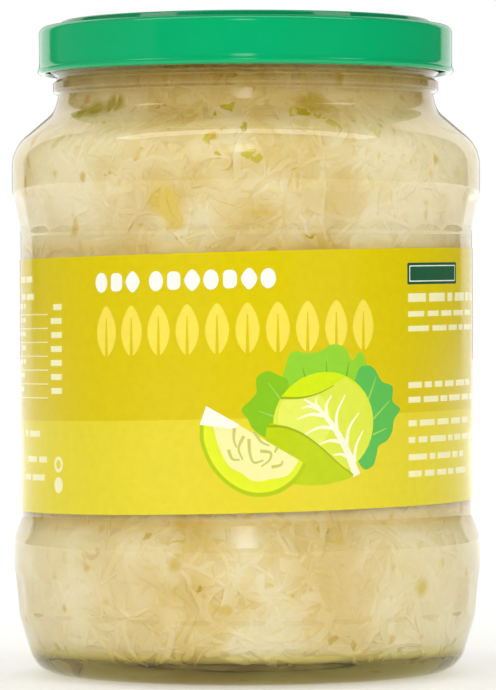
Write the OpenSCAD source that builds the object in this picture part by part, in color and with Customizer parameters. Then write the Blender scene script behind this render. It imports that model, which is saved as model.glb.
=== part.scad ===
// Glass jar of sauerkraut with a twist-off metal lid and a wrap-around paper label.
// Millimetres, +Z up. The origin is the middle of the ring that the jar stands on,
// and the front of the label faces -Y.

/* [Glass body] */
// Outside diameter of the two widest bands, at the heel and at the shoulder
band_d = 95.3; // [84:0.1:125]
// How far the label panel is set in from the bands
panel_recess = 1.7; // [0.5:0.1:4]
// Thickness of the side wall
wall = 2.6; // [1.6:0.1:4]
// Glass between the table and the contents, at the edge of the floor
floor_t = 5.0; // [3:0.1:8]
// Rise of the underside in its middle
push_up = 2.6; // [1:0.1:4.5]
// Middle diameter of the ring that the jar stands on
bearing_d = 70; // [50:0.5:78]
// Width of the flat on that ring
bearing_w = 2.0; // [1:0.1:4]

/* [Glass heights, from the table up] */
// Curved heel
heel_h = 12.0; // [8:0.1:20]
// Tapered ring of facets above the heel
heel_taper_h = 10.0; // [6:0.1:16]
// Lower band
low_band_h = 5.6; // [3:0.1:10]
// Step in from the lower band to the label panel
step_h = 4.4; // [3:0.1:8]
// Label panel
panel_h = 57.2; // [35:0.1:90]
// Tapered ring of facets above the label panel
top_taper_h = 8.8; // [6:0.1:16]
// Upper band, to the corner of the shoulder
top_band_h = 8.8; // [5:0.1:16]
// Shoulder, from its corner to the corner of the neck
shoulder_h = 7.4; // [5:0.1:14]
// Neck, up to the bead
neck_h = 3.9; // [2.5:0.1:8]
// Bead round the neck
bead_h = 2.1; // [1.5:0.1:4]
// Finish, from the bead to the rim
finish_h = 11.0; // [10.5:0.1:16]

/* [Neck and finish] */
// Outside diameter of the neck
neck_d = 76.2; // [60:0.1:84]
// How much wider the neck is at its foot, as a radius
neck_flare = 0.9; // [0.3:0.1:2]
// How far the bead stands out from the neck
bead_out = 1.15; // [0.5:0.05:2]
// How far the finish stands out from the neck
finish_out = 1.3; // [0.5:0.05:2.5]
// Number of threads, and of the lugs that hook under them
thread_count = 6; // [3:1:8]
// Radius of a thread's rounded ridge
thread_r = 0.9; // [0.5:0.05:1.2]
// Slant of a thread, in degrees
thread_slant = 6; // [2:0.5:8]
// Height of the rim above the middle of a thread
thread_drop = 7.4; // [6.5:0.1:8]

/* [Facets] */
// Number of facets in each ring
facet_count = 28; // [12:1:40]
// Depth of a facet in its middle
facet_depth = 0.35; // [0.1:0.05:0.4]

/* [Lid] */
// Sheet thickness
lid_t = 0.25; // [0.2:0.01:0.5]
// Free space between the threads and the inside of the skirt
lid_slack = 1.5; // [1:0.1:3]
// Height of the lid, from the curl to the top ring
lid_h = 10.8; // [9.5:0.1:14]
// Diameter of the rolled curl's wire shape
curl_d = 1.5; // [1:0.1:2]
// Rise of the top ring above the lid's shoulder
ring_rise = 1.15; // [0.5:0.05:2]
// Width of the top ring
ring_w = 3.2; // [2:0.1:6]
// Diameter of the raised button in the middle
button_d = 32; // [20:1:50]

/* [Label] */
// Paper thickness
label_t = 0.15; // [0.08:0.01:0.3]
// Bare panel below the label
label_low = 2.4; // [1.5:0.1:8]
// Bare panel above the label
label_top = 4.0; // [1.5:0.1:8]
// How far the label is stuck on askew, in degrees, right side high
label_tilt = 1.3; // [-1.5:0.1:1.5]
// Bare strip between the label's two ends at the back, in degrees
label_open = 16; // [4:1:60]

/* [Contents] */
// Free height between the contents and the rim
headspace = 2.4; // [1.5:0.1:12]

/* [Hidden] */
$fn = 96;
arc_step = 9;          // largest turn between two points of a rounded corner, in degrees
glue_t = 0.03;         // label stands off the glass by this much
fill_clear = 0.05;     // contents stand off the glass by this much
seat_clear = 0.02;     // lid stands off the rim by this much

band_r = band_d / 2;
panel_r = band_r - panel_recess;
bearing_r = bearing_d / 2;
neck_r = neck_d / 2;
bead_r = neck_r + bead_out;
finish_r = neck_r + finish_out;
bore_r = neck_r - wall;
taper_r = band_r - 1.05;         // foot of the lower facets
heel_r = taper_r - 3.5;          // corner of the heel, before it is rounded
punt_r = bearing_r - bearing_w / 2 - 3;

z_heel = heel_h;
z_low_band = z_heel + heel_taper_h;
z_step = z_low_band + low_band_h;
z_panel = z_step + step_h;
z_panel_top = z_panel + panel_h;
z_top_band = z_panel_top + top_taper_h;
z_shoulder = z_top_band + top_band_h;
z_neck = z_shoulder + shoulder_h;
z_bead = z_neck + neck_h;
z_finish = z_bead + bead_h;
jar_h = z_finish + finish_h;

shoulder_turn = atan((band_r - neck_r - neck_flare) / shoulder_h);
shoulder_drop = wall * tan(shoulder_turn / 2);  // inner corners lie this much lower

// ---- Rounded outlines ----

function xy(p) = [p[0], p[1]];
function unit(v) = v / norm(v);

// Corner q of a path, with its neighbours p and s, rounded by an arc of radius q[2].
// The arc is limited to half of the shorter side.
function corner(p, q, s) =
    let (
        u = unit(xy(p) - xy(q)),
        w = unit(xy(s) - xy(q)),
        half = acos(max(-1, min(1, u * w))) / 2
    )
    q[2] == 0 || half > 89.5 ? [xy(q)] :
    let (
        room = min(norm(xy(p) - xy(q)), norm(xy(s) - xy(q))) / 2,
        r = min(q[2], room * tan(half)),
        centre = xy(q) + unit(u + w) * r / sin(half),
        start = xy(q) + u * r / tan(half) - centre,
        turn = (180 - 2 * half) * (cross(u, w) > 0 ? -1 : 1),
        n = max(2, ceil(abs(turn) / arc_step)),
        a = atan2(start[1], start[0])
    )
    [for (i = [0:n]) centre + r * [cos(a + turn * i / n), sin(a + turn * i / n)]];

// Closed path of [x, y, rounding radius] corners as plain points.
function rounded(path) =
    let (n = len(path))
    [for (i = [0:n - 1]) each corner(path[(i + n - 1) % n], path[i], path[(i + 1) % n])];

module revolve(path) {
    rotate_extrude() polygon(rounded(path));
}

// ---- Glass ----

// Inner wall from the middle of the floor up to height top, as [r, z, rounding] corners.
function cavity(clear, top) = [
    [0, push_up + floor_t + clear, 0],
    [bearing_r - 8, push_up + floor_t + clear - 1.2, 12],
    [heel_r - 1.2 - clear, floor_t + clear, 7],
    [taper_r - wall - clear, z_heel + 1, 14],
    [band_r - wall - clear, z_low_band, 10],
    [band_r - wall - clear, z_step - 0.6, 5],
    [panel_r - wall - clear, z_panel - 0.6, 8],
    [panel_r - wall - clear, z_panel_top + 0.6, 10],
    [band_r - wall - clear, z_top_band, 10],
    [band_r - wall - clear, z_shoulder - shoulder_drop, 7],
    [bore_r + neck_flare - clear, z_neck - shoulder_drop, 7],
    [bore_r - clear, z_bead, 5],
    [bore_r - clear, top, 1.2],
];

// Outer wall from the rim down to the middle of the underside.
outside = [
    [finish_r, jar_h, 1.2],
    [finish_r, z_finish + 2.0, 1.2],
    [neck_r + 0.4, z_finish + 1.0, 0.8],
    [neck_r + 0.4, z_finish + 0.2, 0.4],
    [bead_r, z_finish, 0.95],
    [bead_r, z_bead, 0.95],
    [neck_r, z_bead - 0.3, 0.5],
    [neck_r + neck_flare, z_neck, 5],
    [band_r, z_shoulder, 8],
    [band_r, z_top_band, 15],
    [panel_r, z_panel_top, 5],
    [panel_r, z_panel, 4],
    [band_r, z_step, 4],
    [band_r, z_low_band, 14],
    [taper_r, z_heel, 18],
    [heel_r, 0.9, 8],
    [bearing_r + bearing_w / 2, 0, 1.5],
    [bearing_r - bearing_w / 2, 0, 0.8],
    [punt_r, push_up - 0.6, 4],
    [0, push_up, 0],
];

// Flats cut into the tapered ring between [r, z] points foot and head.
module facet_ring(foot, head) {
    middle = (foot + head) / 2;
    slope = atan((head[0] - foot[0]) / (head[1] - foot[1]));
    length = norm(head - foot) - 1.2;
    width = 3 * band_r * tan(180 / facet_count);
    for (i = [0:facet_count - 1])
        rotate([0, 0, i * 360 / facet_count])
            translate([middle[0], 0, middle[1]])
                rotate([0, slope, 0])
                    translate([-facet_depth, -width / 2, -length / 2])
                        cube([3, width, length]);
}

// One slanted thread, its middle on the +X side.
module thread(span = 46) {
    rotate([thread_slant, 0, 0])
        rotate([0, 0, -span / 2])
            rotate_extrude(angle = span)
                translate([finish_r, 0]) circle(r = thread_r, $fn = 32);
}

module jar() {
    color([0.82, 0.88, 0.84, 0.35])
        union() {
            difference() {
                revolve(concat(cavity(0, jar_h), outside));
                facet_ring([taper_r, z_heel], [band_r, z_low_band]);
                facet_ring([panel_r, z_panel_top], [band_r, z_top_band]);
            }
            for (i = [0:thread_count - 1])
                rotate([0, 0, i * 360 / thread_count])
                    translate([0, 0, jar_h - thread_drop]) thread();
        }
}

// ---- Lid ----

skirt_r = finish_r + thread_r + lid_slack + lid_t;   // outside of the skirt, under its corner
flare = 0.3;                                          // skirt is this much wider at its foot
z_lid_flat = jar_h + seat_clear + lid_t;              // top of the flat that seals on the rim
z_lid_top = z_lid_flat + ring_rise;
z_curl = z_lid_top - lid_h + curl_d / 2;
ring_r = finish_r - 2.0;                              // outside of the top ring
panel_drop = 0.7;                                     // middle lies below the top ring
button_rise = 0.3;

// Face of the sheet that lies t inside the outer one, from the curl to the middle. Rounding on
// outward corners grows by grow, and on inward ones it shrinks.
function lid_face(t, grow) = [
    [skirt_r + flare - t, z_curl, 0],
    [skirt_r - t, z_lid_flat - t, 1.45 + grow],
    [ring_r + 0.7, z_lid_flat - t, 0.5 - grow],
    [ring_r - t / 2, z_lid_top - t, 0.6 + grow],
    [ring_r - ring_w + t / 2, z_lid_top - t, 0.6 + grow],
    [ring_r - ring_w - 0.8, z_lid_top - panel_drop - t, 0.6 - grow],
    [button_d / 2 + 0.8, z_lid_top - panel_drop - t, 0.5 - grow],
    [button_d / 2, z_lid_top - panel_drop + button_rise - t, 0.5 + grow],
    [0, z_lid_top - panel_drop + button_rise - t, 0],
];

function reversed(list) = [for (i = [len(list) - 1:-1:0]) list[i]];

// Tab bent in from the curl, under the high end of a thread.
module lug(span = 8) {
    reach = finish_r + 0.5;
    rotate([0, 0, 15])
        rotate_extrude(angle = span)
            translate([reach, z_curl - curl_d / 2 + 0.1])
                square([skirt_r - reach, 1.3]);
}

module lid() {
    color([0.02, 0.62, 0.38])
        union() {
            revolve(concat(lid_face(0, 0), reversed(lid_face(lid_t, -lid_t / 2))));
            rotate_extrude()
                translate([skirt_r + flare + 0.2 - curl_d / 2, z_curl])
                    circle(d = curl_d, $fn = 32);
            for (i = [0:thread_count - 1])
                rotate([0, 0, i * 360 / thread_count]) lug();
        }
}

// ---- Label ----

// Paper strip round the panel, open at the back, with its edges tilted about the Y axis.
module label() {
    low = z_panel + label_low;
    high = z_panel_top - label_top;
    inside = panel_r + glue_t;
    color([0.88, 0.8, 0.1])
        intersection() {
            rotate([0, 0, 90 + label_open / 2])
                rotate_extrude(angle = 360 - label_open, $fn = 180)
                    translate([inside, z_panel])
                        square([label_t, panel_h]);
            translate([0, 0, (low + high) / 2])
                rotate([0, -label_tilt, 0])
                    cube([3 * band_r, 3 * band_r, high - low], center = true);
        }
}

// ---- Contents ----

lump_r = 14;   // radius of the lumps that make the top uneven
lump_h = 0.8;  // height of the highest lump above the flat between the lumps
lump_w = 7.5;  // how far a lump's foot reaches out
lump_rings = 2;

// Row of lumps at distance out from the middle, of three different heights.
module lump_row(out, count, level) {
    for (i = [0:count - 1])
        rotate([0, 0, i * 360 / count + out])
            translate([out, 0, level - lump_r + lump_h * (1 - 0.2 * (i % 3))])
                intersection() {
                    sphere(r = lump_r);
                    translate([0, 0, lump_r - 2]) cylinder(r = lump_w, h = 4, $fn = 48);
                }
}

module sauerkraut() {
    level = jar_h - headspace - lump_h;
    row_step = (bore_r - lump_w - 1) / lump_rings;
    color([0.9, 0.84, 0.62])
        union() {
            revolve(concat(cavity(fill_clear, level), [[0, level, 0]]));
            lump_row(0, 1, level);
            for (row = [1:lump_rings]) lump_row(row * row_step, 5 * row - 1, level);
        }
}

jar();
lid();
label();
sauerkraut();
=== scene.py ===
"""A jar of sauerkraut: the looks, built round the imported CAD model."""
import math

import bpy
import numpy as np
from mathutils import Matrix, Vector
from mathutils.geometry import delaunay_2d_cdt


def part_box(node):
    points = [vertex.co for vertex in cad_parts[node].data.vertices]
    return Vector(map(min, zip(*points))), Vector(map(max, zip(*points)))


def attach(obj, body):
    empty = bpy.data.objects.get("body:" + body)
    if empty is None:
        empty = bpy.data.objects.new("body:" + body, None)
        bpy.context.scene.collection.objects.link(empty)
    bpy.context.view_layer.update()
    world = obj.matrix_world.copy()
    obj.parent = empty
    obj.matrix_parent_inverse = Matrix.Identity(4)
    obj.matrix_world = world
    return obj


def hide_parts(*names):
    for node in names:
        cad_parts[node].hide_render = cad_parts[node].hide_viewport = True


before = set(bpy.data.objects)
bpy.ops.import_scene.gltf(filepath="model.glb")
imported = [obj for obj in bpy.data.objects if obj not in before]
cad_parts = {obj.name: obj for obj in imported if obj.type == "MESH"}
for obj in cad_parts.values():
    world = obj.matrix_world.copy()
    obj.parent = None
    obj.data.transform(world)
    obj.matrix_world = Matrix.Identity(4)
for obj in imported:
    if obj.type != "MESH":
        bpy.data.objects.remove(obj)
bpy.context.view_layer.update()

BODY = "root"
MM = 0.001
SEED = 41

# ---- Sizes of the jar, in millimetres, from the CAD nodes' boxes and the steps between them ----

_, jar_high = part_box("jar")
lid_low, lid_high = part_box("lid")
BAND_R = 47.65                       # widest bands of the glass
JAR_H = jar_high.z / MM
LID_LOW, LID_TOP = lid_low.z / MM, lid_high.z / MM
PANEL_R = BAND_R - 1.7               # label panel
TAPER_R = BAND_R - 1.05              # foot of the lower facets
HEEL_R = TAPER_R - 3.5
NECK_R = 38.1
NECK_FOOT_R = NECK_R + 0.9
BEAD_R = NECK_R + 1.15
FINISH_R = NECK_R + 1.3
BEARING_R, BEARING_W, PUSH_UP = 35.0, 2.0, 2.6
WALL, FLOOR_T = 2.6, 5.0
Z_HEEL, Z_LOW_BAND, Z_STEP, Z_PANEL = 12.0, 22.0, 27.6, 32.0
Z_PANEL_TOP, Z_TOP_BAND, Z_SHOULDER = 89.2, 98.0, 106.8
Z_NECK, Z_BEAD, Z_FINISH = 114.2, 118.1, 120.2
LABEL_LOW, LABEL_HIGH = Z_PANEL + 2.4, Z_PANEL_TOP - 4.0
SHOULDER_DROP = 1.2                  # inner corners of the shoulder lie this much lower
BORE_R = NECK_R - WALL

# Mesh columns, and the longest sides of the outlines that are turned
FACET_COLUMNS, LID_COLUMNS, CORE_COLUMNS = 8, 240, 220
OUTSIDE_STEP, CAVITY_STEP, LID_STEP, CORE_STEP = 0.9, 3.0, 1.0, 1.6

FACETS = 28
FACET_DEPTH = 0.42                   # a little more than the CAD's, so that they show
THREADS = 6
THREAD_R, THREAD_RISE, THREAD_SPAN, THREAD_SLANT = 0.9, 3.6, 46.0, 6.0


# ---- Outlines ----

def rounded(path, step=6.0):
    """Open path of (x, y, radius) corners as plain points, each corner an arc of points every step degrees."""
    points = [np.array(path[0][:2], float)]
    for before, here, after in zip(path, path[1:], path[2:]):
        corner = np.array(here[:2], float)
        u = np.array(before[:2], float) - corner
        w = np.array(after[:2], float) - corner
        room = min(np.linalg.norm(u), np.linalg.norm(w)) / 2
        u, w = u / np.linalg.norm(u), w / np.linalg.norm(w)
        half = math.acos(max(-1.0, min(1.0, float(u @ w)))) / 2
        if here[2] == 0 or half > math.radians(89.5):
            points.append(corner)
            continue
        radius = min(here[2], room * math.tan(half))
        centre = corner + (u + w) / np.linalg.norm(u + w) * radius / math.sin(half)
        start = corner + u * radius / math.tan(half) - centre
        turn = (math.pi - 2 * half) * (-1 if u[0] * w[1] - u[1] * w[0] > 0 else 1)
        count = max(3, math.ceil(abs(math.degrees(turn)) / step))
        first = math.atan2(start[1], start[0])
        for i in range(count + 1):
            a = first + turn * i / count
            points.append(centre + radius * np.array([math.cos(a), math.sin(a)]))
    points.append(np.array(path[-1][:2], float))
    return np.array(points)


def refine(points, longest):
    """The same outline with no side longer than longest."""
    out = [points[0]]
    for a, b in zip(points, points[1:]):
        parts = max(1, math.ceil(np.linalg.norm(b - a) / longest))
        out += [a + (b - a) * i / parts for i in range(1, parts + 1)]
    return np.array(out)


def smoothstep(low, high, x):
    t = np.clip((x - low) / (high - low), 0, 1)
    return t * t * (3 - 2 * t)


def soft_min(a, b, k):
    """The lower of a and b, blended over a distance k where they cross."""
    h = np.clip(0.5 + 0.5 * (b - a) / k, 0, 1)
    return b + (a - b) * h - k * h * (1 - h)


# ---- Meshes ----

def make_piece(name, verts, faces, material, smooth=True):
    """Mesh object from millimetres, riding on the body."""
    mesh = bpy.data.meshes.new(name)
    mesh.from_pydata([tuple(v) for v in np.asarray(verts) * MM], [], [tuple(f) for f in faces])
    mesh.validate()
    mesh.shade_smooth() if smooth else mesh.shade_flat()
    mesh.materials.append(material)
    piece = bpy.data.objects.new(name, mesh)
    bpy.context.scene.collection.objects.link(piece)
    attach(piece, BODY)
    return piece


def lathe(outline, segments, relief=None):
    """Closed surface of a (r, z) outline that starts and ends on the axis. relief(turn, r, z) gives new radii."""
    turn = np.arange(segments) * 2 * math.pi / segments
    rings = outline[1:-1]
    rr = np.repeat(rings[:, :1], segments, 1)
    zz = np.repeat(rings[:, 1:], segments, 1)
    tt = np.repeat(turn[None, :], len(rings), 0)
    if relief is not None:
        rr = relief(tt, rr, zz)
    ring_verts = np.stack([rr * np.sin(tt), -rr * np.cos(tt), zz], -1).reshape(-1, 3)
    first, last = len(ring_verts), len(ring_verts) + 1
    verts = np.vstack([ring_verts, [[0, 0, outline[0][1]], [0, 0, outline[-1][1]]]])
    around = np.arange(segments)
    nxt = (around + 1) % segments
    faces = []
    for row in range(len(rings) - 1):
        a, b = row * segments, (row + 1) * segments
        faces += np.stack([a + around, a + nxt, b + nxt, b + around], 1).tolist()
    faces += np.stack([nxt, around, np.full(segments, first)], 1).tolist()
    base = (len(rings) - 1) * segments
    faces += np.stack([base + around, base + nxt, np.full(segments, last)], 1).tolist()
    return verts, faces


# ---- Materials ----

def new_material(name):
    material = bpy.data.materials.new(name)
    material.use_nodes = True
    tree = material.node_tree
    return material, tree, tree.nodes["Principled BSDF"]


def add(tree, kind, **inputs):
    """New node of this kind. Inputs are values or sockets, by name with spaces written as
    underscores, or by place as i0, i1 and so on."""
    node = tree.nodes.new(kind)
    for key, value in inputs.items():
        place = int(key[1:]) if key[0] == "i" and key[1:].isdigit() else key.replace("_", " ")
        if isinstance(value, bpy.types.NodeSocket):
            tree.links.new(value, node.inputs[place])
        else:
            node.inputs[place].default_value = value
    return node


def tune(shader, **values):
    """Plain inputs of a shader, by name with spaces written as underscores."""
    for key, value in values.items():
        shader.inputs[key.replace("_", " ")].default_value = value


def maths(tree, operation, a, b=0.0):
    node = add(tree, "ShaderNodeMath", i0=a, i1=b)
    node.operation = operation
    return node.outputs[0]


def vector_maths(tree, operation, a, b=(0, 0, 0)):
    node = add(tree, "ShaderNodeVectorMath", i0=a, i1=b)
    node.operation = operation
    return node.outputs


def ranged(tree, value, low, high, bottom=0.0, top=1.0, shape="LINEAR"):
    """Value from low to high turned into bottom to top, and held at those beyond."""
    node = add(tree, "ShaderNodeMapRange", Value=value, From_Min=low, From_Max=high, To_Min=bottom, To_Max=top)
    node.interpolation_type = shape
    return node.outputs[0]


def object_place(tree):
    return add(tree, "ShaderNodeTexCoord").outputs["Object"]


def axes_of(tree, vector):
    return add(tree, "ShaderNodeSeparateXYZ", Vector=vector).outputs


def level_part(tree, axes):
    """Vector without its upright part."""
    return add(tree, "ShaderNodeCombineXYZ", X=axes["X"], Y=axes["Y"]).outputs[0]


def noise(tree, place, scale, detail):
    return add(tree, "ShaderNodeTexNoise", Vector=place, Scale=scale, Detail=detail).outputs["Fac"]


def roughen(tree, shader, height, strength, distance):
    """Fine relief in a shader's normal."""
    bump = add(tree, "ShaderNodeBump", Height=height, Strength=strength, Distance=distance)
    tree.links.new(bump.outputs["Normal"], shader.inputs["Normal"])


def colour_ramp(tree, factor, stops):
    """Ramp through (position, (r, g, b)) stops."""
    ramp = tree.nodes.new("ShaderNodeValToRGB")
    tree.links.new(factor, ramp.inputs["Fac"])
    elements = ramp.color_ramp.elements
    while len(elements) < len(stops):
        elements.new(0.5)
    for element, (position, colour) in zip(elements, stops):
        element.position = position
        element.color = (*colour, 1)
    return ramp.outputs["Color"]


def mixed(tree, factor, a, b, blend="MIX"):
    """Colour socket a turned by factor towards b, which is a socket or a plain colour."""
    if not isinstance(b, bpy.types.NodeSocket):
        b = (*b, 1)
    node = add(tree, "ShaderNodeMix", i0=factor, i6=a, i7=b)
    node.data_type, node.blend_type = "RGBA", blend
    return node.outputs[2]


def srgb(r, g, b):
    """Linear colour of an sRGB one given in 0 to 255."""
    return tuple((c / 255 / 12.92) if c <= 10 else ((c / 255 + 0.055) / 1.055) ** 2.4 for c in (r, g, b))


PLAIN = (1, 1, 1)                    # a shade that changes nothing


def glass_material():
    """Clear glass, olive where it is thick. Lamps reach what is behind it."""
    material, tree, shader = new_material("clear_glass")
    tune(shader, Base_Color=(0.985, 0.995, 0.985, 1), Roughness=0.0, IOR=1.52, Transmission_Weight=1.0)
    roughen(tree, shader, noise(tree, object_place(tree), 70.0, 1.0), 0.12, 0.001)
    clear = add(tree, "ShaderNodeBsdfTransparent", Color=(0.94, 0.96, 0.94, 1))
    shadow = add(tree, "ShaderNodeLightPath").outputs["Is Shadow Ray"]
    mix = add(tree, "ShaderNodeMixShader", Fac=shadow, i1=shader.outputs[0], i2=clear.outputs[0])
    absorb = add(tree, "ShaderNodeVolumeAbsorption", Color=(0.64, 0.66, 0.0, 1), Density=36.0)
    out = tree.nodes["Material Output"]
    tree.links.new(mix.outputs[0], out.inputs["Surface"])
    tree.links.new(absorb.outputs[0], out.inputs["Volume"])
    return material


def lacquer_material():
    """Green lacquer on tinplate with a clear gloss coat, and painted shade darkening the outer side of the top
    ring.
    """
    material, tree, shader = new_material("green_lacquer")
    place = object_place(tree)
    axes = axes_of(tree, place)
    cloud = noise(tree, place, 30.0, 3.0)
    green = colour_ramp(tree, cloud, [(0.3, srgb(0, 170, 104)), (0.7, srgb(0, 178, 111))])
    # Painted shade: a darker band in the lacquer over the outer side wall of the top ring
    height = ranged(tree, axes["Z"], (LID_TOP - RING_RISE - 0.1) * MM, LID_TOP * MM)
    deep = (0.6, 0.58, 0.62)
    shade = colour_ramp(tree, height, [(0.0, PLAIN), (0.2, deep), (0.75, deep), (0.92, PLAIN)])
    radius = vector_maths(tree, "LENGTH", level_part(tree, axes))["Value"]
    outside = ranged(tree, radius, (RING_R - 0.5) * MM, (RING_R - 0.2) * MM)
    tree.links.new(mixed(tree, outside, green, shade, "MULTIPLY"), shader.inputs["Base Color"])
    tune(shader, Roughness=0.35, Specular_IOR_Level=0.0, Coat_Weight=1.0, Coat_IOR=1.45, Coat_Roughness=0.05)
    roughen(tree, shader, noise(tree, place, 900.0, 2.0), 0.05, 0.0002)
    return material


def ink_material(name, colour):
    """Gloss-printed paper: a slight mottle in the ink under a thin clear varnish."""
    material, tree, shader = new_material(name)
    place = object_place(tree)
    darker = tuple(c * 0.98 for c in colour)
    lighter = tuple(min(1.0, c * 1.015) for c in colour)
    mottle = colour_ramp(tree, noise(tree, place, 600.0, 3.0), [(0.35, darker), (0.65, lighter)])
    tree.links.new(mottle, shader.inputs["Base Color"])
    tune(shader, Roughness=0.6, Specular_IOR_Level=0.0, Coat_Weight=1.0, Coat_IOR=1.33, Coat_Roughness=0.12)
    roughen(tree, shader, noise(tree, place, 1400.0, 2.0), 0.06, 0.0002)
    return material


PAINTED_SIDE_LIGHT_TONE = srgb(255, 245, 222)      # painted light: the pale tone the cabbage is lifted to towards the jar's sides
FLECK_TONE = srgb(222, 190, 84)
STAINS = [                           # (turn, height, size, colour) of the larger soft stains
    (-0.98, 111.8, 2.4, srgb(198, 182, 26)), (-0.87, 112.8, 3.0, srgb(190, 174, 22)),
    (-0.76, 113.9, 2.4, srgb(184, 168, 24)),
    (-0.36, 95.0, 3.2, srgb(230, 202, 84)), (-0.32, 91.6, 2.4, srgb(230, 202, 92)),
    (0.36, 113.6, 3.2, srgb(206, 180, 76)), (0.84, 19.4, 2.2, srgb(222, 200, 84)),
    (-0.31, 24.2, 2.2, srgb(216, 182, 76)),
]
PAINTED_LIGHT_AND_SHADE_BY_HEIGHT = [                  # painted shade under the heap, painted golden light beside the label's edges, ochre painted shade in the neck under the lid
    (5.0, (0.42, 0.34, 0.1)), (5.9, (0.96, 0.92, 0.42)), (7.8, PLAIN),
    (LABEL_LOW - 5, PLAIN), (LABEL_LOW - 2.5, (0.98, 0.88, 0.6)), (LABEL_LOW + 3, PLAIN),
    (LABEL_HIGH - 3, PLAIN), (LABEL_HIGH + 1, (0.99, 0.9, 0.66)), (LABEL_HIGH + 3, PLAIN),
    (Z_SHOULDER, PLAIN), (Z_SHOULDER + 2, (0.95, 0.91, 0.8)), (Z_NECK, (0.84, 0.76, 0.55)),
    (Z_BEAD, (0.72, 0.61, 0.38)), (Z_FINISH, (0.58, 0.48, 0.25)), (Z_FINISH + 1.5, (0.86, 0.74, 0.34)),
]


def cabbage_material(name, deep, middle, pale, blotch_scale):
    """Wet cabbage. Each shred's own tint picks between the colours, with small blotches across them
    and wide pale and golden areas through the whole heap. Painted light makes it paler towards the
    jar's sides, painted shade darkens it to ochre in the neck under the lid and under the heap, a
    painted golden light lies beside the label's edges, and soft amber stains run across the shreds."""
    material, tree, shader = new_material(name)
    place = object_place(tree)
    axes = axes_of(tree, place)
    tint = add(tree, "ShaderNodeAttribute")
    tint.attribute_name = "tint"
    blotch = noise(tree, place, blotch_scale, 3.0)
    area = ranged(tree, noise(tree, place, 75.0, 1.0), 0.35, 0.65, -0.95, 0.6)
    pick = maths(tree, "ADD", maths(tree, "ADD", tint.outputs["Fac"], blotch), area)
    own = colour_ramp(tree, maths(tree, "MULTIPLY", pick, 0.5), [(0.08, deep), (0.4, middle), (0.8, pale)])
    # Painted light: the cabbage is paled towards the jar's sides, where the lamps light it less
    painted_side_light = ranged(tree, maths(tree, "ABSOLUTE", axes["X"]), 12 * MM, 34 * MM, 0.0, 0.5)
    own = mixed(tree, painted_side_light, own, PAINTED_SIDE_LIGHT_TONE)
    fleck = ranged(tree, noise(tree, place, 230.0, 1.0), 0.66, 0.76, 0.0, 0.75)
    own = mixed(tree, fleck, own, FLECK_TONE)
    ragged = maths(tree, "MULTIPLY", blotch, 4 * MM)
    for turn, z, size, colour in STAINS:
        r = float(np.interp(z, WALL_Z, WALL_R))
        spot = (r * math.sin(turn) * MM, -r * math.cos(turn) * MM, z * MM)
        away = maths(tree, "ADD", vector_maths(tree, "DISTANCE", place, spot)["Value"], ragged)
        near = ranged(tree, away, (size * 0.6 + 2) * MM, (size * 1.2 + 2) * MM, 0.85, 0.0)
        own = mixed(tree, near, own, colour)
    # Painted light and shade by height, multiplied into the colour
    height = ranged(tree, axes["Z"], 0.0, JAR_H * MM)
    shade = colour_ramp(tree, height, [(z / JAR_H, colour) for z, colour in PAINTED_LIGHT_AND_SHADE_BY_HEIGHT])
    tree.links.new(mixed(tree, 1.0, own, shade, "MULTIPLY"), shader.inputs["Base Color"])
    tune(shader, Roughness=0.5, IOR=1.15)
    return material


# ---- Glass ----

CAVITY = [
    (0, PUSH_UP + FLOOR_T, 0),
    (BEARING_R - 8, PUSH_UP + FLOOR_T - 1.2, 12),
    (HEEL_R - 1.2, FLOOR_T, 7),
    (TAPER_R - WALL, Z_HEEL + 1, 14),
    (BAND_R - WALL, Z_LOW_BAND, 10),
    (BAND_R - WALL, Z_STEP - 0.6, 5),
    (PANEL_R - WALL, Z_PANEL - 0.6, 8),
    (PANEL_R - WALL, Z_PANEL_TOP + 0.6, 10),
    (BAND_R - WALL, Z_TOP_BAND, 10),
    (BAND_R - WALL, Z_SHOULDER - SHOULDER_DROP, 7),
    (BORE_R + 0.9, Z_NECK - SHOULDER_DROP, 7),
    (BORE_R, Z_BEAD, 5),
    (BORE_R, JAR_H, 1.2),
]
OUTSIDE = [
    (FINISH_R, JAR_H, 1.2),
    (FINISH_R, Z_FINISH + 2.0, 1.2),
    (NECK_R + 0.4, Z_FINISH + 1.0, 0.8),
    (NECK_R + 0.4, Z_FINISH + 0.2, 0.4),
    (BEAD_R, Z_FINISH, 0.95),
    (BEAD_R, Z_BEAD, 0.95),
    (NECK_R, Z_BEAD - 0.3, 0.5),
    (NECK_FOOT_R, Z_NECK, 5),
    (BAND_R, Z_SHOULDER, 8),
    (BAND_R, Z_TOP_BAND, 15),
    (PANEL_R, Z_PANEL_TOP, 5),
    (PANEL_R, Z_PANEL, 4),
    (BAND_R, Z_STEP, 4),
    (BAND_R, Z_LOW_BAND, 14),
    (TAPER_R, Z_HEEL, 18),
    (HEEL_R, 0.9, 8),
    (BEARING_R + BEARING_W / 2, 0, 1.5),
    (BEARING_R - BEARING_W / 2, 0, 0.8),
    (BEARING_R - BEARING_W / 2 - 3, PUSH_UP - 0.6, 4),
    (0, PUSH_UP, 0),
]


def facet_cut(turn, r, z, foot, head):
    """Radii after oblong flats are pressed into the taper between (r, z) points foot and head."""
    pitch = 2 * math.pi / FACETS
    off = (turn + pitch / 2) % pitch - pitch / 2
    along = (z - foot[1]) / (head[1] - foot[1])
    taper = foot[0] + (head[0] - foot[0]) * along
    flat = (taper - FACET_DEPTH) / np.cos(off)
    inside = smoothstep(0.02, 0.16, along) * smoothstep(0.02, 0.16, 1 - along)
    cut = soft_min(r, flat, 0.16)
    return r + (cut - r) * inside


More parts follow.
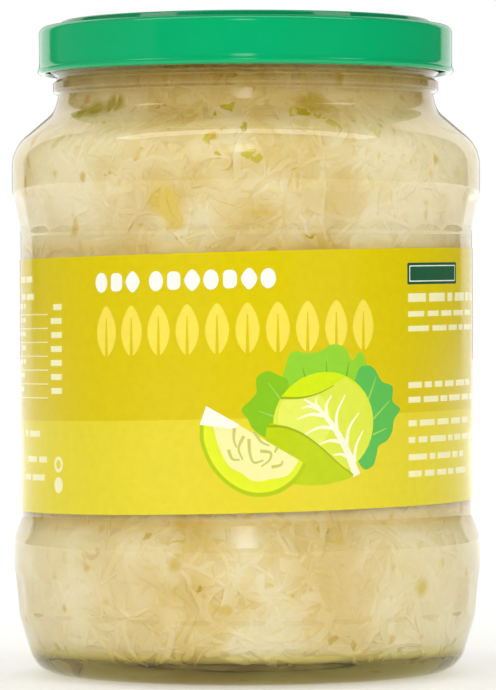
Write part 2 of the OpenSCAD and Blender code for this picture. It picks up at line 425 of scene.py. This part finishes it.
def thread_ridge(turn, r, z):
    """Radii with the slanted threads of the finish."""
    pitch = 2 * math.pi / THREADS
    off = (turn + pitch / 2) % pitch - pitch / 2
    middle = Z_FINISH + THREAD_RISE + FINISH_R * np.sin(off) * math.tan(math.radians(THREAD_SLANT))
    half = math.radians(THREAD_SPAN / 2)
    fade = smoothstep(0, math.radians(4), half - np.abs(off))
    bulge = np.sqrt(np.clip(THREAD_R ** 2 - (z - middle) ** 2, 0, None)) * fade
    return np.maximum(r, FINISH_R + bulge * (bulge > 0))


def glass_relief(turn, r, z):
    """Facets, threads and the faint waviness of pressed glass."""
    outer = r > np.interp(z, WALL_Z, WALL_R) + WALL / 2
    low = facet_cut(turn, r, z, (TAPER_R, Z_HEEL), (BAND_R, Z_LOW_BAND))
    top = facet_cut(turn, r, z, (PANEL_R, Z_PANEL_TOP), (BAND_R, Z_TOP_BAND))
    r = np.where(outer & (z > Z_HEEL) & (z < Z_LOW_BAND), low, r)
    r = np.where(outer & (z > Z_PANEL_TOP) & (z < Z_TOP_BAND), top, r)
    return np.where(outer & (z > Z_FINISH + 1.5) & (z < JAR_H - 1.5), thread_ridge(turn, r, z), r)


cavity_line = refine(rounded(CAVITY), CAVITY_STEP)
WALL_Z, WALL_R = cavity_line[:, 1], cavity_line[:, 0]


def glass_line():
    """Whole outline of the glass, from the middle of the floor up the inside and down the outside."""
    return np.vstack([cavity_line[:-1], refine(rounded(OUTSIDE), OUTSIDE_STEP)])


def build_glass():
    verts, faces = lathe(glass_line(), FACETS * FACET_COLUMNS, glass_relief)
    faces = [f[::-1] for f in faces]
    glass = make_piece("glass_jar", verts, faces, glass_material())
    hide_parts("jar")


# ---- Lid ----

LID_T = 0.25
SKIRT_R = FINISH_R + THREAD_R + 1.5 + LID_T
FLARE, CURL_D = 0.3, 1.5
RING_R = FINISH_R - 2.0
RING_RISE, RING_W, BUTTON_R = 1.15, 3.2, 16.0
PANEL_DROP, BUTTON_RISE = 0.7, 0.3


def lid_face(inset, grow):
    """Sheet's face from the curl to the middle, inset millimetres inside the outer one."""
    flat = LID_TOP - RING_RISE
    return [
        (SKIRT_R + FLARE - inset, LID_LOW + CURL_D * 0.8, 0),
        (SKIRT_R - inset, flat - inset, 1.45 + grow),
        (RING_R + 0.7, flat - inset, 0.5 - grow),
        (RING_R - inset / 2, LID_TOP - inset, 0.6 + grow),
        (RING_R - RING_W + inset / 2, LID_TOP - inset, 0.6 + grow),
        (RING_R - RING_W - 0.8, LID_TOP - PANEL_DROP - inset, 0.6 - grow),
        (BUTTON_R + 0.8, LID_TOP - PANEL_DROP - inset, 0.5 - grow),
        (BUTTON_R, LID_TOP - PANEL_DROP + BUTTON_RISE - inset, 0.5 + grow),
        (0, LID_TOP - PANEL_DROP + BUTTON_RISE - inset, 0),
    ]


def lid_line():
    """Lid's outline from the middle of its top, down the skirt, round the curl and back underneath."""
    top = rounded(lid_face(0, 0))[::-1]
    under = rounded(lid_face(LID_T, -LID_T / 2))
    centre = np.array([SKIRT_R + FLARE + 0.04 - CURL_D / 2, LID_LOW + CURL_D / 2])
    angles = np.radians(np.arange(55, -226, -20.0))
    curl = centre + CURL_D / 2 * np.stack([np.cos(angles), np.sin(angles)], 1)
    return refine(np.vstack([top[:-1], curl, under[1:]]), LID_STEP)


def build_lid():
    verts, faces = lathe(lid_line(), LID_COLUMNS)
    lid = make_piece("twist_off_lid", verts, faces, lacquer_material())
    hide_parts("lid")


# ---- Sauerkraut ----

SHRED_RINGS = 8
SHRED_SECTION = ((1, -0.05), (0.6, 0.42), (-0.6, 0.42), (-1, -0.05), (-0.85, -2.4), (0.85, -2.4))
SHRED_SIDES = len(SHRED_SECTION)
wall_steps = np.concatenate([[0], np.cumsum(np.linalg.norm(np.diff(cavity_line, axis=0), axis=1))])
wall_dirs = np.gradient(cavity_line, wall_steps, axis=0)


def on_wall(length):
    """(r, z) and the outward normal of the inside of the glass, this far along its outline from the middle."""
    r = np.interp(length, wall_steps, cavity_line[:, 0])
    z = np.interp(length, wall_steps, cavity_line[:, 1])
    dr = np.interp(length, wall_steps, wall_dirs[:, 0])
    dz = np.interp(length, wall_steps, wall_dirs[:, 1])
    size = np.hypot(dr, dz)
    return r, z, dz / size, -dr / size


def build_shreds(name, material, count, rng, length, width, thickness, depth, tint, zones):
    """Curved shreds pressed against the glass, as one mesh.

    length, width, thickness, depth and tint are (low, high) ranges, and depth is how far a shred's
    middle lies in the glass. zones lists (share, low z, high z, turn, half turn) areas."""
    shares = np.array([zone[0] for zone in zones])
    pick = rng.choice(len(zones), count, p=shares / shares.sum())
    zone = np.array([z[1:] for z in zones])[pick]
    z0 = rng.uniform(zone[:, 0], zone[:, 1])
    l0 = np.interp(z0, cavity_line[:, 1], wall_steps)
    turn0 = zone[:, 2] + zone[:, 3] * rng.uniform(-1, 1, count)
    size = rng.uniform(*length, count)
    wide = np.exp(rng.uniform(*np.log(width), count))
    thick = rng.uniform(*thickness, count)
    heading = rng.uniform(0, 2 * math.pi, count)
    bend = rng.normal(0, 1.1, count)
    wave = rng.uniform(0, 2 * math.pi, (count, 3))
    u = np.linspace(-0.5, 0.5, SHRED_RINGS)[None, :]
    angle = heading[:, None] + bend[:, None] * u + 0.35 * np.sin(5 * u + wave[:, :1])
    step = size[:, None] / (SHRED_RINGS - 1)
    along_l = np.cumsum(np.sin(angle) * step, 1)
    along_s = np.cumsum(np.cos(angle) * step, 1)
    ll = np.clip(l0[:, None] + along_l - along_l.mean(1, keepdims=True), 18, wall_steps[-1] - 4)
    r = on_wall(ll)[0]
    turn = turn0[:, None] + (along_s - along_s.mean(1, keepdims=True)) / r
    deep = rng.uniform(*depth, count)[:, None] + 0.1 * np.sin(4 * u + wave[:, 1:2])
    roll = np.minimum(0.3, 0.35 / wide[:, None]) * np.sin(3 * u + wave[:, 2:3])
    taper = 1 - 0.55 * (2 * np.abs(u)) ** 4
    verts = np.zeros((count, SHRED_RINGS, SHRED_SIDES, 3))
    for i, (side, lift) in enumerate(SHRED_SECTION):
        side = side * wide[:, None] / 2 * taper
        lift = lift * thick[:, None] * taper
        across = side * np.cos(roll) - lift * np.sin(roll)
        out = np.minimum(deep + side * np.sin(roll) + lift * np.cos(roll), 1.3)
        dl, ds = across * np.cos(angle), -across * np.sin(angle)
        rr, zz, mr, mz = on_wall(np.clip(ll + dl, 10, wall_steps[-1] - 2))
        tt = turn + ds / rr
        radius = rr + mr * out
        verts[:, :, i] = np.stack([radius * np.sin(tt), -radius * np.cos(tt), zz + mz * out], -1)
    stride = SHRED_RINGS * SHRED_SIDES
    quads = []
    for ring in range(SHRED_RINGS - 1):
        for i in range(SHRED_SIDES):
            j = (i + 1) % SHRED_SIDES
            a, b = ring * SHRED_SIDES, (ring + 1) * SHRED_SIDES
            quads.append((a + i, a + j, b + j, b + i))
    caps = [range(SHRED_SIDES)[::-1], range(stride - SHRED_SIDES, stride)]
    starts = np.arange(count)[:, None, None] * stride
    faces = (starts + np.array(quads)).reshape(-1, 4).tolist()
    faces += (starts + np.array(caps)).reshape(-1, SHRED_SIDES).tolist()
    piece = make_piece(name, verts.reshape(-1, 3), faces, material, smooth=False)
    shade = piece.data.attributes.new("tint", "FLOAT", "POINT")
    shade.data.foreach_set("value", np.repeat(rng.uniform(*tint, count), stride))


def build_core(material, rng):
    """Packed contents behind the shreds: out to just inside the glass, with low lumps."""
    line = refine(cavity_line[:-1], CORE_STEP)
    line = line[line[:, 1] < JAR_H - 3.2]
    top = line[-1][1]
    closing = refine(np.array([[line[-1][0], top], [0, top]]), 2.5)[1:]
    outline = np.vstack([line, closing])
    waves = rng.uniform(0, 2 * math.pi, (24, 2))
    pace = rng.integers(4, 46, 24)
    climb = rng.uniform(-1.1, 1.1, 24)

    def lumps(turn, r, z):
        swell = sum(np.sin(k * turn + c * z + p[0]) for k, c, p in zip(pace, climb, waves)) / 24
        against = smoothstep(30, 36, r)
        return r + against * (0.5 + 0.3 * np.clip(swell + 0.12, 0, 0.4))

    verts, faces = lathe(outline, CORE_COLUMNS, lumps)
    sunk = np.abs(verts[:, 2] - top) > 0.5
    near = np.hypot(verts[:, 0], verts[:, 1]) < 36
    verts[:, 2] -= np.where(sunk & near & (verts[:, 2] < 20), 0.12, 0)
    verts[:, 2] += np.where(~sunk, 0.5 * np.sin(verts[:, 0] * 0.5) * np.cos(verts[:, 1] * 0.4), 0)
    core = make_piece("sauerkraut_core", verts, [f[::-1] for f in faces], material)
    shade = core.data.attributes.new("tint", "FLOAT", "POINT")
    shade.data.foreach_set("value", np.full(len(verts), 0.35))
    return core


def build_sauerkraut():
    rng = np.random.default_rng(SEED)
    cream = cabbage_material("cabbage_cream", srgb(224, 197, 128), srgb(233, 212, 160), srgb(241, 227, 196), 110)
    gold = cabbage_material("cabbage_gold", srgb(223, 194, 112), srgb(232, 209, 146), srgb(240, 225, 180), 140)
    amber = cabbage_material("cabbage_amber", srgb(204, 164, 44), srgb(220, 188, 78), srgb(232, 208, 120), 150)
    leaf = cabbage_material("cabbage_leaf", srgb(168, 154, 16), srgb(200, 184, 52), srgb(222, 206, 100), 150)
    packed = cabbage_material("cabbage_packed", srgb(225, 199, 132), srgb(233, 211, 156), srgb(240, 225, 186), 80)
    core = build_core(packed, rng)
    around = math.pi
    upper = [(0.7, 104, 120, 0, around), (0.3, 88, 104, 0, around)]
    shown = [(0.55, 84, 126, 0, around), (0.37, 5.2, 38, 0, around), (0.08, 34, 90, math.pi, 0.26)]
    heap = [
        # name, material, count, length, width, thickness, depth, tint, zones
        ("cabbage_shreds", cream, 2000, (8, 24), (0.7, 2.1), (0.1, 0.18), (0.44, 0.66), (0.25, 0.85), shown),
        ("cabbage_ribbons", cream, 2000, (5, 14), (1.4, 3.8), (0.08, 0.16), (0.44, 0.66), (0.25, 0.85), shown),
        ("cabbage_threads", gold, 1100, (5, 16), (0.6, 2.2), (0.08, 0.16), (0.44, 0.66), (0.25, 0.85), shown),
        ("cabbage_amber_bits", amber, 150, (1.5, 4), (1.0, 2.8), (0.1, 0.16), (0.54, 0.64), (0, 1), shown),
        ("cabbage_leaf_bits", leaf, 34, (4, 9), (1.6, 3.6), (0.1, 0.16), (0.54, 0.64), (0, 1), upper),
    ]
    for name, material, count, *ranges in heap:
        build_shreds(name, material, count, rng, *ranges)
    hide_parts("sauerkraut")


# ---- Label ----
# Drawn flat in millimetres: x runs round the jar from the front's middle, y up from the label's middle.

LABEL_T, GLUE_T = 0.15, 0.03
LABEL_TILT = math.radians(1.3)
LABEL_OPEN = math.radians(16.0)
LABEL_R = PANEL_R + GLUE_T + LABEL_T
LABEL_MIDDLE = (LABEL_LOW + LABEL_HIGH) / 2
LABEL_HALF_H = (LABEL_HIGH - LABEL_LOW) / 2
LABEL_HALF_W = LABEL_R * (math.pi - LABEL_OPEN / 2)
BAND_TOP = -7.0                      # upper edge of the brighter band along the label's foot

INKS = {
    "field": srgb(224, 202, 4),
    "band": srgb(234, 217, 46),
    "white": srgb(255, 253, 240),
    "title": srgb(250, 228, 84),
    "small": srgb(252, 246, 190),
    "badge": srgb(36, 92, 60),
    "leaf_light": srgb(150, 214, 50),
    "leaf_shade": srgb(112, 180, 36),
    "leaf_green": srgb(140, 200, 26),
    "leaf_blue": srgb(96, 194, 84),
    "leaf_vein": srgb(160, 216, 90),
    "head": srgb(226, 236, 72),
    "head_lit": srgb(234, 242, 96),
    "cap": srgb(216, 238, 0),
    "fold": srgb(196, 214, 0),
    "fold_line": srgb(160, 180, 0),
    "rib": srgb(255, 250, 218),
    "rim": srgb(184, 206, 6),
    "lime": srgb(232, 242, 40),
    "cream": srgb(250, 244, 168),
    "core": srgb(255, 250, 232),
    "swirl": srgb(206, 206, 104),
}


def spline(points, per=6, closed=True):
    """Smooth line through the points."""
    points = np.array(points, float)
    ends = points if closed else np.vstack([2 * points[0] - points[1], points, 2 * points[-1] - points[-2]])
    out = []
    for i in range(len(points) if closed else len(points) - 1):
        if closed:
            a, b, c, d = (ends[(i + k - 1) % len(points)] for k in range(4))
        else:
            a, b, c, d = ends[i:i + 4]
        for t in np.arange(per) / per:
            out.append(0.5 * (2 * b + (c - a) * t + (2 * a - 5 * b + 4 * c - d) * t ** 2
                              + (3 * b - a - 3 * c + d) * t ** 3))
    return np.array(out if closed else out + [points[-1]])


def stroke(points, start, end, per=5):
    """Band along a smooth line, from start to end wide."""
    line = spline(points, per, closed=False)
    along = np.gradient(line, axis=0)
    side = np.stack([-along[:, 1], along[:, 0]], 1) / np.linalg.norm(along, axis=1, keepdims=True)
    half = np.linspace(start, end, len(line))[:, None] / 2
    return np.vstack([line + side * half, (line - side * half)[::-1]])


def oval(x, y, rx, ry, lean=0.0, count=40):
    a = np.arange(count) * 2 * math.pi / count
    flat = np.stack([rx * np.cos(a), ry * np.sin(a)], 1)
    turn = np.array([[math.cos(lean), -math.sin(lean)], [math.sin(lean), math.cos(lean)]])
    return flat @ turn.T + (x, y)


def plate(x0, y0, x1, y1, radius=0.0):
    """Rectangle with round corners."""
    if radius == 0:
        return np.array([(x0, y0), (x1, y0), (x1, y1), (x0, y1)], float)
    path = [(x0, (y0 + y1) / 2, 0), (x0, y0, radius), (x1, y0, radius), (x1, y1, radius), (x0, y1, radius)]
    return rounded(path + [path[0]], 22.5)[:-1]


def bars(rng, x0, x1, y, high, from_right=False):
    """Plain bars in a row, in the place of a line of small print."""
    shapes, x = [], 0.0
    while x < x1 - x0 - 1.5:
        wide = min(rng.uniform(1.8, 6.5), x1 - x0 - x)
        left = x1 - x - wide if from_right else x0 + x
        shapes.append(("small", plate(left, y - high / 2, left + wide, y + high / 2)))
        x += wide + rng.uniform(0.8, 1.2)
    return shapes


def heading_shapes():
    """Two groups of white beads over a row of ten pale leaves."""
    shapes = []
    for i in range(10):
        x = -30.6 + i * 3.72 + (1.4 if i > 2 else 0)
        if i % 3 == 1:
            shapes.append(("white", plate(x - 1.35, 18.3, x + 1.35, 21.9, 1.1)))
        elif i % 3 == 0:
            shapes.append(("white", oval(x, 20.1, 1.5, 1.95)))
        else:
            shapes.append(("white", spline([(x - 1.6, 20.1), (x, 18.0), (x + 1.6, 20.1), (x, 22.2)], 5)))
    for i in range(10):
        x = -29.4 + i * 5.92
        leaf = [(x, 5.5), (x + 1.7, 7.4), (x + 2.35, 10.4), (x + 1.6, 13.4), (x, 15.5),
                (x - 1.6, 13.4), (x - 2.35, 10.4), (x - 1.7, 7.4)]
        shapes.append(("title", spline(leaf, 5)))
        shapes.append(("field", stroke([(x, 4.9), (x, 9.5), (x, 13.2)], 0.75, 0.2, 3)))
    return shapes


def cabbage_shapes():
    """Head of cabbage among loose leaves."""
    top = [(7.6, -1), (7.8, 3.6), (9.2, 5.8), (12.0, 5.3), (14.6, 5.7), (17.2, 6.9), (19.8, 6.2), (21.3, 3.7),
           (23.0, 5.3), (24.3, 3.8), (24.4, -1), (16, -3)]
    left = [(2.1, 1.1), (4.0, 2.1), (6.0, 1.3), (8.2, -0.2), (7.4, -5), (6.0, -9.4), (4.5, -11.2), (1.4, -9.3),
            (0.2, -7.2), (-1.0, -5.3), (0.6, -3.6), (1.9, -2.0), (1.8, -0.3)]
    right = [(22.4, 1.0), (24.4, 2.6), (26.4, 1.9), (28.2, -0.6), (30.8, -1.7), (30.9, -4.6), (32.8, -6.2),
             (31.2, -8.3), (30.8, -10.4), (29.5, -12.2), (27.4, -13.3), (26.8, -15.2), (25.8, -17.2),
             (23.2, -17.0), (20, -9)]
    shapes = [("leaf_light", spline(top)), ("leaf_green", spline(left)), ("leaf_blue", spline(right))]
    for line in ([(12, -1), (11, 2.4)], [(16, 0), (15.8, 3.6)], [(20, 0), (20.6, 3.4)]):
        shapes.append(("leaf_shade", stroke(line, 0.4, 0.12)))
    for line in ([(7, -4), (4.2, -0.2)], [(6, -7), (2.2, -5.6)]):
        shapes.append(("leaf_vein", stroke(line, 0.4, 0.15)))
    for line in ([(25, -4), (26.8, 0.2)], [(26, -8), (30.2, -4.4)], [(26, -11), (29.4, -9.8)]):
        shapes.append(("leaf_vein", stroke(line, 0.45, 0.15)))
    head = oval(15.6, -8.5, 10.5, 10.1)
    shapes += [("head", head), ("head_lit", oval(11.4, -7.4, 5.2, 6.0, 0.3))]
    inside = head[(head[:, 1] > -2.6)]
    inside = inside[np.argsort(-inside[:, 0])]
    under = spline([(6.6, -3.0), (10.4, -3.1), (14.0, -2.4), (17.2, -1.0), (19.9, 0.5)], 5, closed=False)
    shapes.append(("cap", np.vstack([inside, under])))
    shapes.append(("fold_line", stroke([(6.6, -3.2), (10.4, -3.3), (14.0, -2.6), (17.4, -1.1)], 0.5, 0.15)))
    midrib = [(11.3, -3.6), (14.2, -5.6), (17.2, -9.0), (20.0, -13.6), (22.3, -18.8)]
    shapes.append(("rib", stroke(midrib, 0.35, 1.7)))
    sides = [
        [(14.0, -5.4), (12.4, -5.0), (10.8, -5.3)], [(15.4, -6.9), (12.6, -6.6), (9.9, -7.4)],
        [(17.4, -9.4), (14.4, -9.2), (11.4, -10.4)], [(19.2, -12.2), (16.6, -11.8), (14.2, -12.5)],
        [(20.8, -15.3), (19.0, -14.6), (17.2, -14.6)],
        [(14.4, -5.7), (13.7, -4.6), (13.8, -3.4)], [(15.9, -7.4), (15.8, -5.0), (16.9, -3.0)],
        [(18.0, -10.2), (18.0, -6.6), (19.8, -3.0)], [(20.0, -13.4), (20.6, -9.6), (22.8, -6.6)],
        [(21.6, -16.8), (22.2, -13.0), (23.8, -10.0)],
    ]
    shapes += [("rib", stroke(line, 0.85, 0.2)) for line in sides]
    fold = [(4.0, -8.6), (7.4, -8.9), (11.0, -10.4), (14.8, -13.2), (18.4, -16.4), (21.5, -18.7), (18.0, -19.9),
            (13.6, -20.4), (8.0, -19.6), (4.0, -16)]
    shapes.append(("fold", spline(fold)))
    shapes.append(("fold_line", stroke(fold[:6], 0.5, 0.2)))
    return shapes


def wedge_shapes():
    """Cut quarter of a cabbage, its flat side to the upper right."""
    outer = [(-9.2, -8.0), (-9.0, -11.6), (-7.2, -16.0), (-4.2, -19.5), (-0.6, -21.7), (3.0, -22.3),
             (6.6, -21.5), (9.8, -19.3), (11.8, -16.3)]
    bend = spline(outer, 5, closed=False)
    corner = np.array([[-7.9, -4.4]])
    middle = np.array([1.6, -10.6])
    shapes = [("rim", np.vstack([bend, corner])),
              ("lime", np.vstack([middle + (bend - middle) * 0.93, corner]))]
    inner = [(-6.6, -8.2), (-5.4, -12.6), (-3.4, -16.2), (-1.0, -17.6), (1.4, -19.2), (4.6, -18.9), (8.0, -18.2),
             (10.2, -15.4)]
    shapes.append(("cream", np.vstack([spline(inner, 5, closed=False), [[-2.2, -7.8]]])))
    shapes.append(("core", np.array([(-7.9, -4.4), (-1.4, -8.2), (-2.6, -9.0), (-9.2, -8.0)])))
    swirls = [
        [(-2.4, -8.8), (-2.5, -11.0), (-2.0, -12.6)], [(-0.6, -10.4), (-1.6, -12.8), (-0.8, -15.0)],
        [(-3.6, -13.0), (-2.8, -14.8), (-1.4, -15.0)], [(0.4, -11.0), (0.6, -13.8), (1.4, -15.6), (3.2, -15.2)],
        [(1.4, -9.6), (2.8, -11.6), (4.4, -12.4)], [(2.6, -13.4), (4.6, -13.8), (4.4, -15.2), (2.8, -16.4)],
        [(6.0, -12.7), (5.4, -13.8)], [(4.8, -16.6), (6.6, -16.2), (7.0, -15.4)],
    ]
    return shapes + [("swirl", stroke(line, 0.65, 0.3)) for line in swirls]


def small_print_shapes(rng):
    """Plain bars and rules at the sides and the back, with a bare badge and two dots."""
    shapes = [("badge", plate(34.9, 18.2, 52.6, 22.5, 0.4)),
              ("white", plate(35.5, 18.75, 52.0, 21.95, 0.2)), ("badge", plate(35.7, 18.95, 51.8, 21.75, 0.2))]
    for y, right, high in ((15.6, 66, 1.7), (12.4, 64, 1.1), (9.5, 66, 1.1), (-1.6, 62, 1.2), (-4.5, 66, 1.2),
                           (-9.1, 60, 1.2), (-12.4, 64, 1.2), (-15.8, 57, 1.2), (-19.1, 60, 1.2)):
        shapes += bars(rng, 35.1, right, y, high)
    for row in range(7):
        y = 15.6 - 2.77 * row
        shapes += bars(rng, -46.2, -42.2, y, 1.2, from_right=True)
        shapes += bars(rng, -72 + rng.uniform(0, 5), -60, y + 0.3, 0.9)
        shapes.append(("small", plate(-74, y - 1.5, -47.4, y - 1.3)))
    for y, left, right in ((21.3, -66, -55), (17.8, -64, -54), (-9.6, -62, -51), (-14.7, -60, -48),
                           (-18.3, -62, -49)):
        shapes += bars(rng, left, right, y, 1.2, from_right=True)
    shapes += [("small", oval(-43.5, -15.6, 1.5, 1.6)), ("band", oval(-43.5, -15.6, 0.8, 0.9)),
               ("small", oval(-43.5, -19.7, 1.5, 1.6))]
    for side in (-1, 1):
        for row in range(9):
            y = 16.0 - 3.2 * row
            reach = rng.uniform(22, 31)
            start = 80 if side > 0 else -80 - reach
            shapes += bars(rng, start, start + reach, y, 1.0)
    shapes.append(("white", plate(118, -22, 132, -10, 0.6)))
    return shapes


def points_inside(points, loop):
    """Which of the points lie inside a closed loop."""
    x, y = points[:, 0:1], points[:, 1:2]
    ax, ay = loop[:, 0], loop[:, 1]
    bx, by = np.roll(ax, -1), np.roll(ay, -1)
    crosses = (ay > y) != (by > y)
    with np.errstate(divide="ignore", invalid="ignore"):
        cut = (bx - ax) * (y - ay) / (by - ay) + ax
    return (crosses & (x < cut)).sum(1) % 2 == 1


def wrap(flat, radius):
    """Flat label points laid on the jar, in millimetres."""
    turn = flat[:, 0] / LABEL_R
    x = radius * np.sin(turn)
    z = LABEL_MIDDLE + flat[:, 1] + x * math.tan(LABEL_TILT)
    return np.stack([x, -radius * np.cos(turn), z], 1)


def build_label():
    rng = np.random.default_rng(SEED + 1)
    w, h = LABEL_HALF_W, LABEL_HALF_H
    shapes = [("band", plate(-w, -h, w, BAND_TOP))] + heading_shapes() + cabbage_shapes() + wedge_shapes()
    shapes += small_print_shapes(rng)
    columns = np.linspace(-w, w, 180)
    outline = [(x, -h) for x in columns] + [(x, h) for x in columns[::-1]]
    points = [tuple(p) for p in outline]
    edges = [(i, (i + 1) % len(points)) for i in range(len(points))]
    edges += [(i, len(points) - 1 - i) for i in range(1, len(columns) - 1)]
    for ink, loop in shapes:
        first = len(points)
        points += [tuple(p) for p in loop]
        edges += [(first + i, first + (i + 1) % len(loop)) for i in range(len(loop))]
    flat, _, cells, *_ = delaunay_2d_cdt([Vector(p) for p in points], edges, [], 0, 1e-4)
    flat = np.array([tuple(p) for p in flat])
    cells = np.array([tuple(c) for c in cells])
    centres = flat[cells].mean(1)
    names = list(INKS)
    ink_of = np.zeros(len(cells), int)
    for ink, loop in shapes:
        near = np.all((centres > loop.min(0)) & (centres < loop.max(0)), axis=1)
        hit = np.flatnonzero(near)
        ink_of[hit[points_inside(centres[hit], loop)]] = names.index(ink)
    area = np.cross(flat[cells[:, 1]] - flat[cells[:, 0]], flat[cells[:, 2]] - flat[cells[:, 0]])
    cells = np.where((area > 0)[:, None], cells, cells[:, ::-1])
    keep = np.abs(area) > 1e-9
    cells, ink_of = cells[keep], ink_of[keep]
    front = wrap(flat, LABEL_R)
    ring = np.array(outline)
    inner, outer = wrap(ring, LABEL_R - LABEL_T), wrap(ring, LABEL_R)
    verts = np.vstack([front, inner, inner, outer])
    a, n, c = len(front), len(ring), len(columns)
    back = [(a + i, a + n - 1 - i, a + n - 2 - i, a + i + 1) for i in range(c - 1)]
    rim = [(a + n + i, a + n + (i + 1) % n, a + 2 * n + (i + 1) % n, a + 2 * n + i) for i in range(n)]
    faces = cells.tolist() + back + rim
    inks = [ink_material("ink_" + name, colour) for name, colour in INKS.items()]
    label = make_piece("wrap_label", verts, faces, inks[0])
    for material in inks[1:]:
        label.data.materials.append(material)
    white = names.index("white")
    label.data.polygons.foreach_set("material_index", ink_of.tolist() + [white] * (len(back) + len(rim)))
    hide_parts("label")


# ---- Stage, lights and camera ----

def build_stage():
    """Pale floor that glows, faintly in front and more behind the jar: painted light in place of a lit studio
    sweep.
    """
    mesh = bpy.data.meshes.new("floor")
    side = 6.0
    mesh.from_pydata([(-side, -side, 0), (side, -side, 0), (side, side, 0), (-side, side, 0)], [], [(0, 1, 2, 3)])
    floor = bpy.data.objects.new("floor", mesh)
    bpy.context.scene.collection.objects.link(floor)
    material, tree, shader = new_material("pale_floor")
    tune(shader, Base_Color=(0.93, 0.93, 0.92, 1), Roughness=0.6, Emission_Color=(1, 1, 1, 1))
    # Painted light: the floor's glow, which also lights the jar's base from below
    glow = ranged(tree, axes_of(tree, object_place(tree))["Y"], -0.15, 1.2, 0.2, 0.95)
    tree.links.new(glow, shader.inputs["Emission Strength"])
    mesh.materials.append(material)


PANEL_LIGHT, SIDE_LIGHT, FRONT_LIGHT, LEFT_LIGHT, SPARK_LIGHT = 1.05, 0.1, 0.1, 0.18, 3.4


def cosine(degrees):
    return math.cos(math.radians(degrees))


def build_world():
    """White to the camera. To the jar, a dim room with a bright wide panel on each side behind it,
    a faint one on its left and a small spark high in front."""
    world = bpy.data.worlds.new("studio")
    bpy.context.scene.world = world
    world.use_nodes = True
    tree = world.node_tree
    tree.nodes.clear()

    def ramp(value, low, high, bottom, top):
        return ranged(tree, value, low, high, bottom, top, "SMOOTHSTEP")

    def times(a, b):
        return maths(tree, "MULTIPLY", a, b)

    axes = axes_of(tree, add(tree, "ShaderNodeTexCoord").outputs["Generated"])
    heading = axes_of(tree, vector_maths(tree, "NORMALIZE", level_part(tree, axes))[0])
    right, back, up = heading["X"], heading["Y"], axes["Z"]
    wide = ramp(back, cosine(42), cosine(37), 0, 1)
    low = ramp(up, 0.62, 0.78, 1, 0)
    split = ramp(back, cosine(12), cosine(8), 1, 0.1)
    panel = times(times(times(wide, split), low), PANEL_LIGHT)
    room = ramp(back, cosine(125), cosine(85), FRONT_LIGHT, SIDE_LIGHT)
    left = ramp(right, -cosine(36), -cosine(42), LEFT_LIGHT, 0)
    narrow = times(ramp(right, -0.2, -0.02, 0, 1), ramp(right, 0.02, 0.14, 1, 0))
    high = times(ramp(up, 0.3, 0.42, 0, 1), ramp(up, 0.6, 0.76, 1, 0))
    spark = times(times(narrow, high), ramp(back, -0.6, -0.4, SPARK_LIGHT, 0))
    light = room
    for part in (panel, left, spark):
        light = maths(tree, "ADD", light, part)
    camera_ray = add(tree, "ShaderNodeLightPath").outputs["Is Camera Ray"]
    seen = add(tree, "ShaderNodeMix", Factor=camera_ray, A=light, B=1.0)
    shade = add(tree, "ShaderNodeBackground", Color=(1, 1, 1, 1), Strength=seen.outputs[0])
    out = tree.nodes.new("ShaderNodeOutputWorld")
    tree.links.new(shade.outputs[0], out.inputs["Surface"])


def soft_box(name, place, aim, size, power):
    lamp = bpy.data.lights.new(name, "AREA")
    lamp.shape = "RECTANGLE"
    lamp.size, lamp.size_y = size
    lamp.energy = power
    box = bpy.data.objects.new(name, lamp)
    box.location = place
    box.rotation_euler = (Vector(aim) - Vector(place)).to_track_quat("-Z", "Y").to_euler()
    bpy.context.scene.collection.objects.link(box)
    return box


def build_lights():
    middle = (0, 0, 0.066)
    key = soft_box("key_left", (-0.9, -1.3, 0.5), middle, (1.1, 1.1), 10.0)
    fill = soft_box("fill_right", (1.0, -1.2, 0.4), middle, (1.0, 1.0), 9.2)
    soft_box("top", (0, -0.1, 1.5), middle, (2.4, 0.4), 8.0)
    back = soft_box("back", (0.2, 1.6, 0.6), middle, (1.4, 1.0), 8)
    key.visible_glossy = fill.visible_glossy = back.visible_glossy = False


EYE_Z, AIM_Z, DISTANCE = 0.0734, 0.0667, 0.92


def build_camera():
    lens = bpy.data.cameras.new("camera")
    lens.sensor_width = 36
    lens.lens = 235.2
    lens.clip_start = 0.05
    camera = bpy.data.objects.new("camera", lens)
    camera.location = (0.0003, -DISTANCE, EYE_Z)
    camera.rotation_euler = (Vector((0.0003, 0, AIM_Z)) - camera.location).to_track_quat("-Z", "Y").to_euler()
    camera.rotation_euler.rotate_axis("Z", math.radians(-0.2))
    bpy.context.scene.collection.objects.link(camera)
    bpy.context.scene.camera = camera


def set_render_look():
    scene = bpy.context.scene
    scene.view_settings.view_transform = "Standard"
    scene.view_settings.look = "None"
    scene.cycles.max_bounces = 12
    scene.cycles.diffuse_bounces = 4
    scene.cycles.glossy_bounces = 4
    scene.cycles.transmission_bounces = 8
    scene.cycles.transparent_max_bounces = 12
    scene.cycles.caustics_refractive = True
    scene.cycles.sample_clamp_indirect = 6.0


build_camera()
build_glass()
build_lid()
build_label()
build_sauerkraut()
build_stage()
build_world()
build_lights()
set_render_look()
